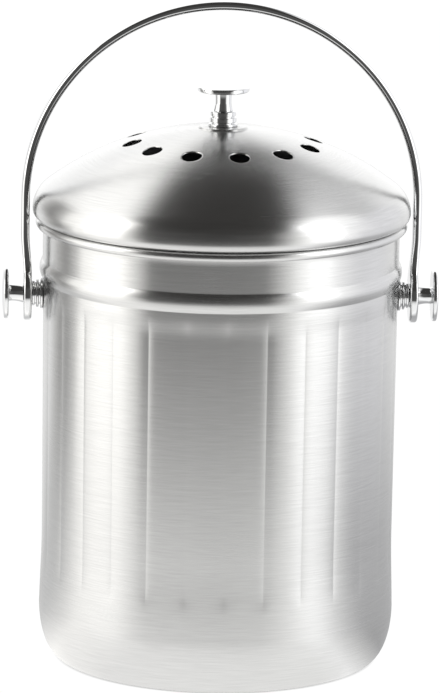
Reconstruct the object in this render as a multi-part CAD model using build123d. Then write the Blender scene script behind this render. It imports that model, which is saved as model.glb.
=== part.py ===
from build123d import *
import math
import os

# Countertop compost pail: drawn steel pail with pressed panels, lift-off vented lid, bail handle.
# Millimetres. Z is up, the pail stands on z = 0, the front is -Y and the handle's pivots lie on X.

# --- pail ---------------------------------------------------------------------------------
pail_sheet = 0.8            # sheet thickness of the pail
pail_height = 217.3         # standing ring to the top of the rolled rim
neck_radius = 86.5          # outside of the plain wall above the panels
rim_roll_radius = 2.2       # rolled rim, in section
bead_drop = 24.8            # rim top down to the middle of the bead
bead_height = 9.2
bead_proud = 1.5
panel_count = 28            # one crease faces the front, one each pivot
panel_gap = 3.0             # bead to the upper ends of the creases
panel_step = 0.3            # the panels' crests lie this far inside the neck
panel_draft = 0.9           # the panels draw in by this much towards their foot
crease_depth = 0.6
crease_fade = 6.0           # height over which a crease runs out
panel_foot = 42.0           # height of the lower ends of the creases
foot_draw_in = 0.6          # neck in to the plain wall at the foot of the creases
belly_proud = 0.12          # neck out to the widest part of the plain band under the panels
belly_height = 25.0
corner_reach = 8.2          # the bottom corner turns in by this much
standing_ring_width = 6.5
base_lift = 2.0             # the base is pressed up inside the standing ring
base_slope = 3.0            # width of the step up to it

# --- posts that carry the handle ------------------------------------------------------------
pivot_drop = 37.7           # rim top down to the pivots
seat_radius = 8.2           # flat pressed in the wall under each post
seat_depth = 0.1            # neck's outside in to the flat
seat_thickness = 1.8
screw_radius = 2.0
screw_fit = 0.04            # screw to tapped hole, radial
screw_clearance = 0.25      # screw to every plain hole, radial
screw_grip = 7.0            # depth of the tapped hole past a knob's shoulder
screw_tip_gap = 1.0         # screw to the bottom of the tapped hole
screw_head_radius = 4.0
screw_head_height = 2.6
screw_head_crown = 0.7      # part of the head's height that is rounded
screw_slot_length = 4.4
screw_slot_width = 0.9
screw_slot_depth = 1.3
washer_radius = 5.5
washer_thickness = 0.8
seal_radius = 6.5
seal_thickness = 1.0
ferrule_flange_height = 1.2
ferrule_groove_height = 0.7
ferrule_groove_radius = 5.6
ferrule_bulge = 0.5         # each ring of a ferrule is rounded by this much
side_ferrule_length = 5.2
side_ferrule_radii = (7.5, 7.0, 6.2)    # flange, middle ring, end ring
spigot_radius = 3.5         # the handle turns on the knob's spigot
knob_foot_radius = 4.8
knob_waist_radius = 3.9
knob_neck_radius = 4.3      # stem where it meets the head
knob_head_radius = 12.5
knob_edge_height = 2.3
knob_crown = 0.95
side_knob_stem = 7.1        # shoulder to head
side_knob_waist = 5.0       # shoulder to the narrowest place

# --- handle -------------------------------------------------------------------------------
handle_play = 0.15          # handle to ferrule and to knob, each side
bore_clearance = 0.06       # spigot to the handle's bore, radial
paddle_radius = 13.2        # flattened ends of the handle
paddle_thickness = 3.9
paddle_edge_round = 1.2
paddle_shoulder = 9.0       # half width of the flattened end where it starts to narrow
paddle_reach = 22.0         # pivot to the top of the flattened end
leg_overlap = 5.0           # bar and flattened end run together over this height
bar_thickness = 4.0
bar_width = 8.0
bar_corner = 1.9
lid_side_gap = 1.5          # lid's edge to the inside of the handle
arch_rise = 46.9            # pivot to the centre of the arch

# --- lid ----------------------------------------------------------------------------------
lid_sheet = 0.7
lid_overhang = 1.6          # the lid's edge stands this far outside the rim's roll
lid_rest_gap = 0.15         # rim top to the lid's underside
lid_edge_rise = 4.15        # underside up to the lid's widest place
lid_edge_turn = 3.8         # the edge turns in by this much below it
lid_hem_height = 6.3        # upright hem inside the edge
mouth_gap = 0.4             # locating ring to the inside of the neck
dome_radius = 142.0
dome_shoulder = 14.8        # round from the dome to the widest place
knob_seat_radius = 12.0
knob_seat_lift = 0.5
knob_seat_chamfer = 0.9
knob_seat_thickness = 1.6
vent_count = 12
vent_radius = 4.9
vent_ring_radius = 44.5
vent_phase = 8.0            # degrees, from the front towards +X
ring_height = 16.0          # locating ring
ring_top_gap = 0.8          # its top to the top of the hem
lid_ferrule_length = 7.4
lid_ferrule_radii = (7.0, 6.5, 6.2)
lid_knob_stem = 9.5
lid_knob_waist = 4.4

# --- filter -------------------------------------------------------------------------------
holder_radius = 55.0        # inside of the filter holder
holder_sheet = 0.7
holder_flange = 3.5
holder_drop = 12.0          # dome down to the open edge of the holder
filter_thickness = 9.0
filter_gap = 0.4            # filter to the retainer's upstand, radial
retainer_gap = 0.3          # retainer's upstand to the holder, radial
retainer_plate = 1.2
retainer_lip = 2.0          # the plate stands out past the holder
retainer_upstand = 3.0
retainer_upstand_wall = 1.0
retainer_hole_radius = 2.4
retainer_ring_radii = (14.0, 27.0, 40.0)
retainer_ring_counts = (6, 12, 18)      # holes in each ring

# --- worked out from the above --------------------------------------------------------------
inner_radius = neck_radius - pail_sheet
rim_centre_radius = inner_radius + rim_roll_radius
rim_centre_z = pail_height - rim_roll_radius
bead_z = pail_height - bead_drop
panel_top = bead_z - bead_height / 2 - panel_gap
crest_top = neck_radius - panel_step
crest_foot = crest_top - panel_draft
foot_radius = neck_radius - foot_draw_in
belly_radius = neck_radius + belly_proud
pivot_z = pail_height - pivot_drop

seat_x = neck_radius - seat_depth
seat_inner_x = seat_x - seat_thickness
handle_x = seat_x + side_ferrule_length + handle_play
shoulder_x = handle_x + paddle_thickness + handle_play
spigot_length = shoulder_x - seat_x - side_ferrule_length

lid_radius = rim_centre_radius + rim_roll_radius + lid_overhang
turn_radius = lid_radius - lid_edge_turn
hem_inner_radius = inner_radius - mouth_gap
hem_radius = hem_inner_radius + lid_sheet
lid_low_z = pail_height + lid_rest_gap
lid_floor_z = lid_low_z + lid_sheet
hem_z = lid_floor_z + lid_hem_height
bend_radius = lid_radius - dome_shoulder
bend_z = lid_low_z + lid_edge_rise
dome_lean = math.asin(bend_radius / (dome_radius - dome_shoulder))
dome_centre_z = bend_z - (dome_radius - dome_shoulder) * math.cos(dome_lean)
dome_top = dome_centre_z + dome_radius
knob_seat_z = dome_top + knob_seat_lift
arch_inner_radius = lid_radius + lid_side_gap
arch_z = pivot_z + arch_rise
bar_x = arch_inner_radius + bar_thickness / 2


def turned(*outline):
    """Solid turned about Z from a closed outline drawn as radius and height."""
    return revolve(Plane.XZ * make_face(Curve() + list(outline)), Axis.Z)


def disc(radius, low, high):
    """Plain round plate about Z."""
    return Pos(0, 0, low) * Cylinder(radius, high - low, align=(Align.CENTER, Align.CENTER, Align.MIN))


def hoop(outer, inner, low, high):
    """Plain ring about Z with flat ends."""
    return turned(Polyline((inner, low), (outer, low), (outer, high), (inner, high), close=True))


def on_side(solid, side):
    """Stand a solid drawn along +Z on the pivot axis, pointing to side -1 or +1 of X."""
    return Pos(0, 0, pivot_z) * Rot(0, 90 * side, 0) * solid


def dome_height(radius, below=0.0):
    """Height at a radius of the dome's outer face, or of a face that lies below it."""
    return dome_centre_z + math.sqrt((dome_radius - below) ** 2 - radius ** 2)


# --- pail -----------------------------------------------------------------------------------
def panel_section(crest, crease, height):
    """Closed ring of arcs, one to a panel: each runs from crease over crest to crease."""
    step = 360 / panel_count

    def at(radius, turn):
        angle = math.radians(turn - 90)
        return (radius * math.cos(angle), radius * math.sin(angle), height)

    arcs = []
    for number in range(panel_count):
        start = number * step
        ends = at(crease, start), at(crease, start + step)
        arcs.append(ThreePointArc(ends[0], at(crest, start + step / 2), ends[1]).edge())
    return Wire(arcs)


def panelled_solid(inset):
    """Everything inside the panelled stretch of wall, drawn in by the inset."""
    rows = (
        (foot_radius, 0.0, panel_foot),
        (crest_foot, crease_depth, panel_foot + crease_fade),
        (crest_top, crease_depth, panel_top - crease_fade),
        (neck_radius, 0.0, panel_top),
    )
    sections = []
    for crest, depth, height in rows:
        sections.append(panel_section(crest - inset, crest - inset - depth, height))
    return Solid.make_loft(sections, ruled=True)


def lower_wall():
    """Base, standing ring, bottom corner and belly, up to the foot of the panels."""
    corner_radius = belly_radius - corner_reach
    lift_foot = corner_radius - standing_ring_width
    lift_top = lift_foot - base_slope
    inside_belly = belly_radius - pail_sheet
    inside_foot = foot_radius - pail_sheet
    return turned(
        Polyline((0, base_lift), (lift_top, base_lift), (lift_foot, 0), (corner_radius, 0)),
        EllipticalCenterArc((corner_radius, belly_height), corner_reach, belly_height, start_angle=-90),
        TangentArc((belly_radius, belly_height), (foot_radius, panel_foot), tangent=(0, 1)),
        Line((foot_radius, panel_foot), (inside_foot, panel_foot)),
        TangentArc((inside_belly, belly_height), (inside_foot, panel_foot), tangent=(0, 1)),
        EllipticalCenterArc(
            (corner_radius, belly_height),
            corner_reach - pail_sheet,
            belly_height - pail_sheet,
            start_angle=-90,
        ),
        Polyline(
            (corner_radius, pail_sheet),
            (lift_foot, pail_sheet),
            (lift_top, base_lift + pail_sheet),
            (0, base_lift + pail_sheet),
            (0, base_lift),
        ),
    )


def upper_wall():
    """Plain band, bead, neck and rolled rim."""
    bead_low = bead_z - bead_height / 2
    bead_high = bead_z + bead_height / 2
    wall_offset = rim_roll_radius - pail_sheet
    roll_foot_z = rim_centre_z - math.sqrt(rim_roll_radius ** 2 - wall_offset ** 2)
    foot_angle = math.atan2(roll_foot_z - rim_centre_z, -wall_offset)
    # the roll runs over the top, from the inside of the neck round to its outside
    middle_angle = (math.pi + foot_angle) / 2
    roll_middle = (
        rim_centre_radius + rim_roll_radius * math.cos(middle_angle),
        rim_centre_z + rim_roll_radius * math.sin(middle_angle),
    )
    return turned(
        Line((inner_radius, panel_top), (inner_radius, bead_low)),
        ThreePointArc(
            (inner_radius, bead_low), (inner_radius + bead_proud, bead_z), (inner_radius, bead_high)
        ),
        Line((inner_radius, bead_high), (inner_radius, rim_centre_z)),
        ThreePointArc((inner_radius, rim_centre_z), roll_middle, (neck_radius, roll_foot_z)),
        Line((neck_radius, roll_foot_z), (neck_radius, bead_high)),
        ThreePointArc((neck_radius, bead_high), (neck_radius + bead_proud, bead_z), (neck_radius, bead_low)),
        Line((neck_radius, bead_low), (neck_radius, panel_top)),
        Line((neck_radius, panel_top), (inner_radius, panel_top)),
    )


def pail_shell():
    """The drawn pail, with a flat and a hole for each post."""
    shell = lower_wall() + (panelled_solid(0.0) - panelled_solid(pail_sheet)) + upper_wall()
    for side in (-1, 1):
        shell = shell + on_side(disc(seat_radius, seat_inner_x, seat_x), side)
        shell = shell - on_side(disc(seat_radius, seat_x, lid_radius), side)
        shell = shell - on_side(disc(screw_radius + screw_clearance, 0, lid_radius), side)
    return shell


# --- posts and knobs ------------------------------------------------------------------------
def ferrule(length, radii):
    """Turned collar with a flange, a groove, a rounded ring, a groove and an end ring."""
    flange, middle, end = radii
    one_ring = (length - ferrule_flange_height - 2 * ferrule_groove_height) / 2
    first = ferrule_flange_height + ferrule_groove_height
    first_end = first + one_ring
    second = first_end + ferrule_groove_height
    bore = screw_radius + screw_clearance
    return turned(
        Polyline(
            (bore, 0),
            (flange, 0),
            (flange, ferrule_flange_height),
            (ferrule_groove_radius, ferrule_flange_height),
            (ferrule_groove_radius, first),
            (middle - ferrule_bulge, first),
        ),
        ThreePointArc(
            (middle - ferrule_bulge, first),
            (middle, (first + first_end) / 2),
            (middle - ferrule_bulge, first_end),
        ),
        Polyline(
            (middle - ferrule_bulge, first_end),
            (ferrule_groove_radius, first_end),
            (ferrule_groove_radius, second),
            (end - ferrule_bulge, second),
        ),
        ThreePointArc(
            (end - ferrule_bulge, second), (end, (second + length) / 2), (end - ferrule_bulge, length)
        ),
        Polyline((end - ferrule_bulge, length), (bore, length), (bore, 0)),
    )


def knob(stem, waist, spigot):
    """Crowned knob on a waisted stem: its shoulder is at z = 0 and its spigot points down."""
    edge = knob_edge_height / 2
    high = stem + knob_edge_height
    body = turned(
        Line((0, 0), (knob_foot_radius, 0)),
        ThreePointArc((knob_foot_radius, 0), (knob_waist_radius, waist), (knob_neck_radius, stem)),
        Line((knob_neck_radius, stem), (knob_head_radius - edge, stem)),
        ThreePointArc(
            (knob_head_radius - edge, stem),
            (knob_head_radius, stem + edge),
            (knob_head_radius - edge, high),
        ),
        TangentArc((0, high + knob_crown), (knob_head_radius - edge, high), tangent=(1, 0)),
        Line((0, high + knob_crown), (0, 0)),
    )
    if spigot > 0:
        body = body + disc(spigot_radius, -spigot, 0)
    return body - disc(screw_radius + screw_fit, -spigot, screw_grip)


def pan_screw(length):
    """Cross-slotted pan head screw: its head bears at z = 0 and its shank points up."""
    flank = screw_head_height - screw_head_crown
    rounded = screw_head_radius - screw_head_crown
    head = turned(
        Polyline((0, 0), (screw_head_radius, 0), (screw_head_radius, -flank)),
        TangentArc((screw_head_radius, -flank), (rounded, -screw_head_height), tangent=(0, -1)),
        Polyline((rounded, -screw_head_height), (0, -screw_head_height), (0, 0)),
    )
    slot = Box(screw_slot_length, screw_slot_width, 2 * screw_slot_depth)
    cross = Pos(0, 0, -screw_head_height) * (slot + Rot(0, 0, 90) * slot)
    return disc(screw_radius, 0, length) + (head - cross)


def washer(radius, low, thickness):
    """Flat ring that clears the screw."""
    return hoop(radius, screw_radius + screw_clearance, low, low + thickness)


def post_pieces(side):
    """What holds one end of the handle, from inside the pail outwards."""
    seal_x = seat_inner_x - seal_thickness
    washer_x = seal_x - washer_thickness
    screw_length = shoulder_x + screw_grip - screw_tip_gap - washer_x
    return {
        "seal": on_side(washer(seal_radius, seal_x, seal_thickness), side),
        "washer": on_side(washer(washer_radius, washer_x, washer_thickness), side),
        "pivot_screw": on_side(Pos(0, 0, washer_x) * pan_screw(screw_length), side),
        "ferrule": on_side(Pos(0, 0, seat_x) * ferrule(side_ferrule_length, side_ferrule_radii), side),
        "knob": on_side(Pos(0, 0, shoulder_x) * knob(side_knob_stem, side_knob_waist, spigot_length), side),
    }


# --- handle ---------------------------------------------------------------------------------
def bar_section():
    """Section of the handle's bar, lying flat."""
    return RectangleRounded(bar_thickness, bar_width, bar_corner)


def paddle():
    """Flattened end of the handle, drawn flat with the pivot at the origin."""
    neck = Polyline(
        (-paddle_shoulder, 0),
        (-bar_width / 2, paddle_reach),
        (bar_width / 2, paddle_reach),
        (paddle_shoulder, 0),
        close=True,
    )
    plate = extrude(Circle(paddle_radius) + make_face(neck), paddle_thickness)
    ends = plate.faces().filter_by(Axis.Z)
    plate = fillet(ends.edges(), paddle_edge_round)
    return plate - disc(spigot_radius + bore_clearance, 0, paddle_thickness)


def bail_pieces():
    """The handle as an arch and two arms, each with a flat, bored end, that meet it face to face."""
    start = Pos(bar_x, 0, arch_z) * bar_section()
    pieces = {"bail_arch": revolve(start, Axis((0, 0, arch_z), (0, -1, 0)), revolution_arc=180)}
    arm_low = pivot_z + paddle_reach - leg_overlap
    for side, word in ((-1, "left"), (1, "right")):
        arm = extrude(Pos(side * bar_x, 0, arm_low) * bar_section(), arch_z - arm_low)
        end = Pos(side * handle_x, 0, pivot_z) * Rot(0, 0, 90 * side) * Rot(90, 0, 0) * paddle()
        pieces[f"bail_{word}_arm"] = arm + end
    return pieces


# --- lid ------------------------------------------------------------------------------------
def lid_curve(inset):
    """Dome, shoulder and turned-in edge, drawn in by the inset."""
    crown = dome_radius - inset
    bend = dome_shoulder - inset
    half = dome_lean / 2
    turn = (math.pi / 2 - dome_lean) / 2
    meet = (crown * math.sin(dome_lean), dome_centre_z + crown * math.cos(dome_lean))
    return [
        ThreePointArc(
            (0, dome_centre_z + crown),
            (crown * math.sin(half), dome_centre_z + crown * math.cos(half)),
            meet,
        ),
        ThreePointArc(
            meet,
            (bend_radius + bend * math.cos(turn), bend_z + bend * math.sin(turn)),
            (bend_radius + bend, bend_z),
        ),
        EllipticalCenterArc(
            (turn_radius, bend_z), lid_edge_turn - inset, lid_edge_rise - inset, start_angle=-90
        ),
    ]


def lid_shell():
    """Domed lid whose edge is turned in over the rim and ends in a hem, with knob seat and vents."""
    shell = turned(
        *lid_curve(0.0),
        Polyline(
            (turn_radius, lid_low_z),
            (hem_inner_radius, lid_low_z),
            (hem_inner_radius, hem_z),
            (hem_radius, hem_z),
            (hem_radius, lid_floor_z),
            (turn_radius, lid_floor_z),
        ),
        *lid_curve(lid_sheet),
        Line((0, dome_top - lid_sheet), (0, dome_top)),
    )
    seat_low = knob_seat_z - knob_seat_thickness
    seat = turned(
        Polyline(
            (0, seat_low),
            (knob_seat_radius, seat_low),
            (knob_seat_radius, knob_seat_z - knob_seat_chamfer),
            (knob_seat_radius - knob_seat_chamfer, knob_seat_z),
            (0, knob_seat_z),
            close=True,
        )
    )
    shell = shell + seat
    shell = shell - disc(screw_radius + screw_clearance, seat_low - lid_sheet, knob_seat_z + lid_sheet)
    tilt = math.degrees(math.asin(vent_ring_radius / dome_radius))
    punch = disc(vent_radius, dome_radius - 4 * lid_sheet, dome_radius + 4 * lid_sheet)
    for number in range(vent_count):
        turn = vent_phase - 90 + number * 360 / vent_count
        shell = shell - Pos(0, 0, dome_centre_z) * Rot(0, 0, turn) * Rot(0, tilt, 0) * punch
    return shell


def locating_ring():
    """Upright ring inside the lid's hem that centres the lid in the mouth."""
    top = hem_z - ring_top_gap
    return hoop(hem_inner_radius, hem_inner_radius - lid_sheet, top - ring_height, top)


def lid_knob_pieces():
    """The knob on the crown and what holds it."""
    washer_z = knob_seat_z - knob_seat_thickness - washer_thickness
    knob_z = knob_seat_z + lid_ferrule_length
    screw_length = knob_z + screw_grip - screw_tip_gap - washer_z
    return {
        "lid_knob_washer": washer(washer_radius, washer_z, washer_thickness),
        "lid_knob_screw": Pos(0, 0, washer_z) * pan_screw(screw_length),
        "lid_knob_ferrule": Pos(0, 0, knob_seat_z) * ferrule(lid_ferrule_length, lid_ferrule_radii),
        "lid_knob": Pos(0, 0, knob_z) * knob(lid_knob_stem, lid_knob_waist, 0.0),
    }


# --- filter ---------------------------------------------------------------------------------
holder_outer = holder_radius + holder_sheet
holder_low = dome_height(holder_outer, lid_sheet) - holder_drop


def filter_holder():
    """Short collar whose flange is welded to the underside of the dome."""
    reach = holder_outer + holder_flange
    under = lid_sheet
    below = lid_sheet + holder_sheet
    flange_middle = (holder_outer + reach) / 2
    weld_middle = (holder_radius + reach) / 2
    return turned(
        Polyline(
            (holder_radius, dome_height(holder_radius, under)),
            (holder_radius, holder_low),
            (holder_outer, holder_low),
            (holder_outer, dome_height(holder_outer, below)),
        ),
        ThreePointArc(
            (holder_outer, dome_height(holder_outer, below)),
            (flange_middle, dome_height(flange_middle, below)),
            (reach, dome_height(reach, below)),
        ),
        Line((reach, dome_height(reach, below)), (reach, dome_height(reach, under))),
        ThreePointArc(
            (reach, dome_height(reach, under)),
            (weld_middle, dome_height(weld_middle, under)),
            (holder_radius, dome_height(holder_radius, under)),
        ),
    )


def filter_retainer():
    """Perforated plate whose upstand plugs into the holder."""
    outer = holder_radius - retainer_gap
    plate = disc(holder_outer + retainer_lip, holder_low - retainer_plate, holder_low)
    hole = disc(retainer_hole_radius, holder_low - 2 * retainer_plate, holder_low + retainer_plate)
    for count, radius in zip(retainer_ring_counts, retainer_ring_radii):
        plate = plate - [place * hole for place in PolarLocations(radius, count)]
    upstand = hoop(outer, outer - retainer_upstand_wall, holder_low, holder_low + retainer_upstand)
    return plate + upstand


def charcoal_filter():
    """Carbon-loaded pad that rests on the retainer, inside its upstand."""
    radius = holder_radius - retainer_gap - retainer_upstand_wall - filter_gap
    return disc(radius, holder_low, holder_low + filter_thickness)


def all_pieces():
    """Every piece under its name."""
    pieces = {"pail_shell": pail_shell(), **bail_pieces()}
    for side, word in ((-1, "left"), (1, "right")):
        for name, solid in post_pieces(side).items():
            pieces[f"{word}_{name}"] = solid
    pieces["lid_shell"] = lid_shell()
    pieces["lid_locating_ring"] = locating_ring()
    pieces.update(lid_knob_pieces())
    pieces["filter_holder"] = filter_holder()
    pieces["filter_retainer"] = filter_retainer()
    pieces["charcoal_filter"] = charcoal_filter()
    return pieces


os.makedirs("parts", exist_ok=True)
for node, solid in all_pieces().items():
    export_step(solid, f"parts/{node}.step")
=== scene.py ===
import math

import bmesh
import bpy
from mathutils import Matrix, Quaternion, Vector


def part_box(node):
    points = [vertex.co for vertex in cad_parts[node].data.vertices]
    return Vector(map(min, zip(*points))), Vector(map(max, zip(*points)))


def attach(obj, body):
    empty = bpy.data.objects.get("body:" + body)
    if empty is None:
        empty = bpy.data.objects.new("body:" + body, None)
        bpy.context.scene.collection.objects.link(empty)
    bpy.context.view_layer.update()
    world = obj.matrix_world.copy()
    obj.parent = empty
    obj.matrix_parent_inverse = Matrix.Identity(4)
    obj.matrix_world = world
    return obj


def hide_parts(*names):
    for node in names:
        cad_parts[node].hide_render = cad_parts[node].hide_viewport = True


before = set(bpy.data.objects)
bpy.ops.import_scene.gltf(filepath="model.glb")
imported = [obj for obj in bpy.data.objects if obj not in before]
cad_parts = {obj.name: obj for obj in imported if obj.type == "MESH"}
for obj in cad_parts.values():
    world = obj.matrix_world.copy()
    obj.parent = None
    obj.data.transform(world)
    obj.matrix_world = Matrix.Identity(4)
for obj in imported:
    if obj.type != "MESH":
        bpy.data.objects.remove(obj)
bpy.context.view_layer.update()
scene = bpy.context.scene
mm = 0.001
print("frame loaded:", len(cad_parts), "nodes")


# node trees as plain arithmetic

class Term:
    # an output socket that can be added, multiplied and so on

    def __init__(self, graph, socket):
        self.graph = graph
        self.socket = socket

    def calc(self, operation, *values):
        return self.graph.add("ShaderNodeMath", {"operation": operation}, dict(enumerate(values)))

    def __add__(self, other):
        return self.calc("ADD", self, other)

    def __radd__(self, other):
        return self.calc("ADD", other, self)

    def __sub__(self, other):
        return self.calc("SUBTRACT", self, other)

    def __rsub__(self, other):
        return self.calc("SUBTRACT", other, self)

    def __mul__(self, other):
        return self.calc("MULTIPLY", self, other)

    def __rmul__(self, other):
        return self.calc("MULTIPLY", other, self)

    def __truediv__(self, other):
        return self.calc("DIVIDE", self, other)

    def __rtruediv__(self, other):
        return self.calc("DIVIDE", other, self)

    def __pow__(self, other):
        return self.calc("POWER", self, other)

    def __abs__(self):
        return self.calc("ABSOLUTE", self)


class Graph:
    def __init__(self, tree):
        self.tree = tree

    def add(self, kind, settings=None, sockets=None, output=0):
        node = self.tree.nodes.new(kind)
        for key, value in (settings or {}).items():
            if key == "stops":
                self.setStops(node.color_ramp, value)
            else:
                setattr(node, key, value)
        for key, value in (sockets or {}).items():
            self.plug(node.inputs[key], value)
        return Term(self, node.outputs[output]) if len(node.outputs) else node

    def plug(self, entry, value):
        if isinstance(value, Term):
            self.tree.links.new(value.socket, entry)
        else:
            entry.default_value = value

    def setStops(self, ramp, stops):
        while len(ramp.elements) < len(stops):
            ramp.elements.new(1.0)
        for element, (place, colour) in zip(ramp.elements, stops):
            element.position = place
            element.color = colour

    def ramp(self, value, start, end):
        # 0 at start, 1 at end, eased in between
        settings = {"interpolation_type": "SMOOTHSTEP"}
        return self.add("ShaderNodeMapRange", settings, {0: value, 1: start, 2: end, 3: 0.0, 4: 1.0})

    def split(self, vector):
        first = self.add("ShaderNodeSeparateXYZ", {}, {0: vector})
        return [Term(self, out) for out in first.socket.node.outputs]

    def join(self, x, y, z):
        return self.add("ShaderNodeCombineXYZ", {}, {0: x, 1: y, 2: z})

    def blend(self, share, first, second):
        # between two colours
        settings = {"data_type": "RGBA"}
        return self.add("ShaderNodeMix", settings, {0: share, 6: first, 7: second}, 2)


def opaque(colour):
    return (*colour, 1.0)


def grey(level):
    return opaque((level, level, level))


def newMaterial(name):
    material = bpy.data.materials.new(name)
    material.use_nodes = True
    material.node_tree.nodes.clear()
    return material, Graph(material.node_tree)


def addObject(name, data):
    made = bpy.data.objects.new(name, data)
    scene.collection.objects.link(made)
    return made


def makeMesh(name, verts, faces):
    mesh = bpy.data.meshes.new(name)
    mesh.from_pydata(verts, [], faces)
    return mesh


def bridge(faces, first, second, closed=False):
    # faces between two rows of points; at a pole they are triangles
    count = len(first)
    for number in range(count if closed else count - 1):
        nextOne = (number + 1) % count
        corners = [first[number], first[nextOne], second[nextOne], second[number]]
        face = [c for place, c in enumerate(corners) if c != corners[place - 1]]
        if len(face) > 2:
            faces.append(face)


# camera

cameraView = {
    "aim": 0.15353,          # height of the point that the camera looks at
    "aside": 0.00025,        # how far right of the pail's axis that point lies
    "away": 3.0,
    "above": 12.16,          # degrees
    "turned": 2.65,          # degrees to the left of the front crease
    "roll": 0.94,
    "lens": 320.0,
    "sensor": 36.0,
}


def placeCamera(settings):
    above = math.radians(settings["above"])
    turned = math.radians(settings["turned"])
    flat = settings["away"] * math.cos(above)
    aside = settings["aside"]
    target = Vector((aside * math.cos(turned), -aside * math.sin(turned), settings["aim"]))
    back = Vector((-flat * math.sin(turned), -flat * math.cos(turned), settings["away"] * math.sin(above)))
    look = (-back).to_track_quat("-Z", "Y")
    data = bpy.data.cameras.new("camera")
    data.lens = settings["lens"]
    data.sensor_width = settings["sensor"]
    camera = addObject("camera", data)
    camera.location = target + back
    camera.rotation_mode = "QUATERNION"
    camera.rotation_quaternion = look @ Quaternion((0.0, 0.0, 1.0), math.radians(settings["roll"]))
    scene.camera = camera


placeCamera(cameraView)
print("camera placed")


# studio

studio = {
    "turned": cameraView["turned"],
    "bright": 1.6,           # brightness of a 1.0 in the lists below
    # the wall all round: degrees from the camera's side towards the right, brightness, tint
    "wall": (
        (-180, 0.56, (1.0, 1.0, 1.0)),
        (-153, 0.66, (1.0, 1.0, 1.0)),
        (-143, 0.40, (1.0, 0.99, 0.97)),
        (-128, 0.16, (1.0, 0.99, 0.97)),
        (-115, 0.40, (1.0, 0.99, 0.97)),
        (-109, 0.91, (1.0, 0.99, 0.965)),
        (-70, 0.94, (1.0, 0.99, 0.965)),
        (-59, 0.55, (1.0, 0.99, 0.965)),
        (-49, 0.06, (1.0, 0.99, 0.97)),
        (0, 0.045, (1.0, 0.99, 0.97)),
        (32, 0.07, (1.0, 0.99, 0.97)),
        (46, 0.50, (1.0, 0.995, 0.98)),
        (57, 0.92, (1.0, 1.0, 0.99)),
        (79, 0.91, (1.0, 1.0, 1.0)),
        (96, 0.74, (0.985, 0.985, 1.0)),
        (107, 0.64, (0.97, 0.97, 1.0)),
        (132, 0.66, (0.97, 0.97, 1.0)),
        (142, 0.62, (0.98, 0.98, 1.0)),
        (153, 0.62, (1.0, 1.0, 1.0)),
        (180, 0.56, (1.0, 1.0, 1.0)),
    ),
    "backWall": 0.79,        # brightness of the wall behind the pail
    "backStarts": (2.4, 2.75),              # radians from the camera's side where that wall fades in
    "sideEnds": (0.18, 0.40),               # shares of the sky's radius, counted backwards
    "overheadBackStarts": (0.70, 0.92),
    "middleBlend": 0.12,     # half the width over which left and right overhead meet
    "white": 1.02,           # brightness of what the camera sees behind the pail
    "tableGrey": 0.80,
    "tableReach": 4.0,
    "overheadLeft": (0.92, 0.915, 0.90),
    "overheadRight": (0.48, 0.48, 0.485),
    "overheadSide": (0.92, 0.92, 0.92),     # on the right, nearer than the zenith
    "overheadBack": (0.86, 0.86, 0.86),
    "overheadFrom": 0.38,    # height in the sky where the wall gives way to what hangs overhead
    "overheadTo": 0.62,
    "gap": (0.030, 0.029, 0.028),
    "gapLeft": 0.52,         # reach of the dark gap overhead, as a share of the sky's radius
    "gapRight": 0.46,
    "gapSpreadLeft": 0.58,   # how fast it widens towards the front
    "gapSpreadRight": 0.32,
    "gapEdge": 0.10,
    "gapCloses": 0.74,       # share of the sky's radius behind the zenith where the gap ends
    "gapClosed": 0.92,
    # painted light and shade on the table close to the pail, seen only in reflections: the same three entries
    # as the wall
    "table": (
        (-180, 0.72, (1.0, 1.0, 1.0)),
        (-135, 0.42, (1.0, 1.0, 1.0)),
        (-115, 0.46, (1.0, 1.0, 1.0)),
        (-80, 0.80, (1.0, 0.99, 0.97)),
        (-40, 0.70, (1.0, 0.995, 0.985)),
        (40, 0.68, (1.0, 1.0, 0.99)),
        (56, 0.74, (1.0, 1.0, 1.0)),
        (74, 0.46, (1.0, 1.0, 1.0)),
        (88, 0.30, (0.985, 0.985, 1.0)),
        (150, 0.34, (0.985, 0.985, 1.0)),
        (180, 0.66, (1.0, 1.0, 1.0)),
    ),
    "tableNear": 0.24,
    "tableFar": 1.0,
    "tableSpread": 1.12,     # far out the table takes on the wall's brightness, a little closer to the front
    "contactNear": 0.0755,   # the plain shading is seen only this close to the pail
    "contactFar": 0.0800,
}


def roundWall(graph, azimuth, entries):
    stops = [(turn / 360 + 0.5, opaque(level * part for part in lightTint)) for turn, level, lightTint in entries]
    share = azimuth / (2 * math.pi) + 0.5
    return graph.add("ShaderNodeValToRGB", {"stops": stops}, {"Fac": share})


def studioAxes(graph, vector, settings):
    # right and back as the camera sees them, and the turn from the camera's side
    turned = math.radians(settings["turned"])
    x, y, z = graph.split(vector)
    side = x * math.cos(turned) - y * math.sin(turned)
    back = x * math.sin(turned) + y * math.cos(turned)
    return side, back, z, side.calc("ARCTAN2", side, back * -1.0)


def gapMask(graph, side, back, settings):
    # 1 in the dark gap between the softboxes, in front of the pail and overhead
    edge = settings["gapEdge"]
    leftReach = side + settings["gapLeft"] - back * settings["gapSpreadLeft"]
    rightReach = settings["gapRight"] - back * settings["gapSpreadRight"] - side
    across = graph.ramp(leftReach, -edge, edge) * graph.ramp(rightReach, -edge, edge)
    return across * (1 - graph.ramp(back, settings["gapCloses"], settings["gapClosed"]))


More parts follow.
